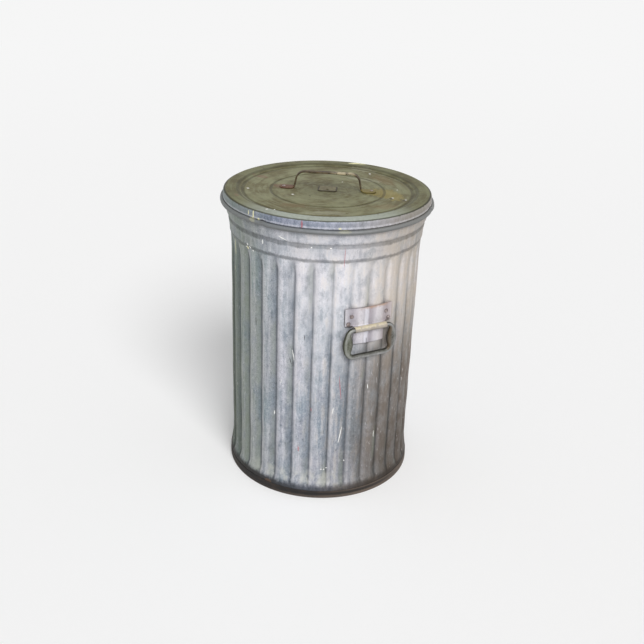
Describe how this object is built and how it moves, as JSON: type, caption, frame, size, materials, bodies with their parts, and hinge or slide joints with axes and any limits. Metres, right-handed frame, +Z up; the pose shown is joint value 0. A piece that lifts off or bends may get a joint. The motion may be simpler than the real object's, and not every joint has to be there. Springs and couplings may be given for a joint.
{
  "type": "trash can",
  "caption": "Round fluted sheet-steel trash can with a lift-off lid, a strap handle on the lid and a drop handle on each side.",
  "frame": {"origin": "centre of the base, on the plane that the can stands on", "axes": "+Z up the can's axis; the two side handles are on +X and -X; the wall's lock seam is on +Y"},
  "size_m": [0.4906, 0.4906, 0.7366],
  "materials": {
    "galvanized_body": "weathered galvanized, blue-grey with pale ridges and streaks",
    "galvanized_bottom": "dull galvanized with dirt",
    "lid_patina": "weathered galvanized, olive and brown stains",
    "base_rust": "blackened and rusted",
    "bracket_steel": "galvanized with rust along the top edge and cream paint on the barrel",
    "handle_steel": "dark worn pressed steel",
    "lid_handle_steel": "dark brown oxidised steel, worn bright on the grip",
    "rivet_steel": "dull galvanized rivet",
    "wire": "plain drawn wire"
  },
  "bodies": {
    "can": {"body_wall": "galvanized_body", "rim_wire": "wire", "bottom_pan": "galvanized_bottom", "base_hoop": "base_rust", "handle_bracket_right": "bracket_steel", "handle_bracket_left": "bracket_steel", "rivet_right_upper_front": "rivet_steel", "rivet_right_upper_back": "rivet_steel", "rivet_right_corner_front": "rivet_steel", "rivet_right_corner_back": "rivet_steel", "rivet_left_upper_front": "rivet_steel", "rivet_left_upper_back": "rivet_steel", "rivet_left_corner_front": "rivet_steel", "rivet_left_corner_back": "rivet_steel"},
    "lid": {"lid_pan": "lid_patina", "lid_rim_wire": "wire", "lid_handle": "lid_handle_steel", "lid_centre_plate": "lid_patina", "rivet_lid_near": "rivet_steel", "rivet_lid_far": "rivet_steel"},
    "bail_right": {"handle_bail_right": "handle_steel"},
    "bail_left": {"handle_bail_left": "handle_steel"}
  },
  "joints": [
    {"name": "lid_lift", "type": "slide", "parent": "can", "child": "lid", "axis": [0, 0, 1], "range_m": [0, 0.2]},
    {"name": "bail_right_swing", "type": "hinge", "parent": "can", "child": "bail_right", "pos_m": [0.22693, 0, 0.445], "axis": [0, -1, 0], "range_deg": [0, 180]},
    {"name": "bail_left_swing", "type": "hinge", "parent": "can", "child": "bail_left", "pos_m": [-0.22693, 0, 0.445], "axis": [0, 1, 0], "range_deg": [0, 180]}
  ]
}
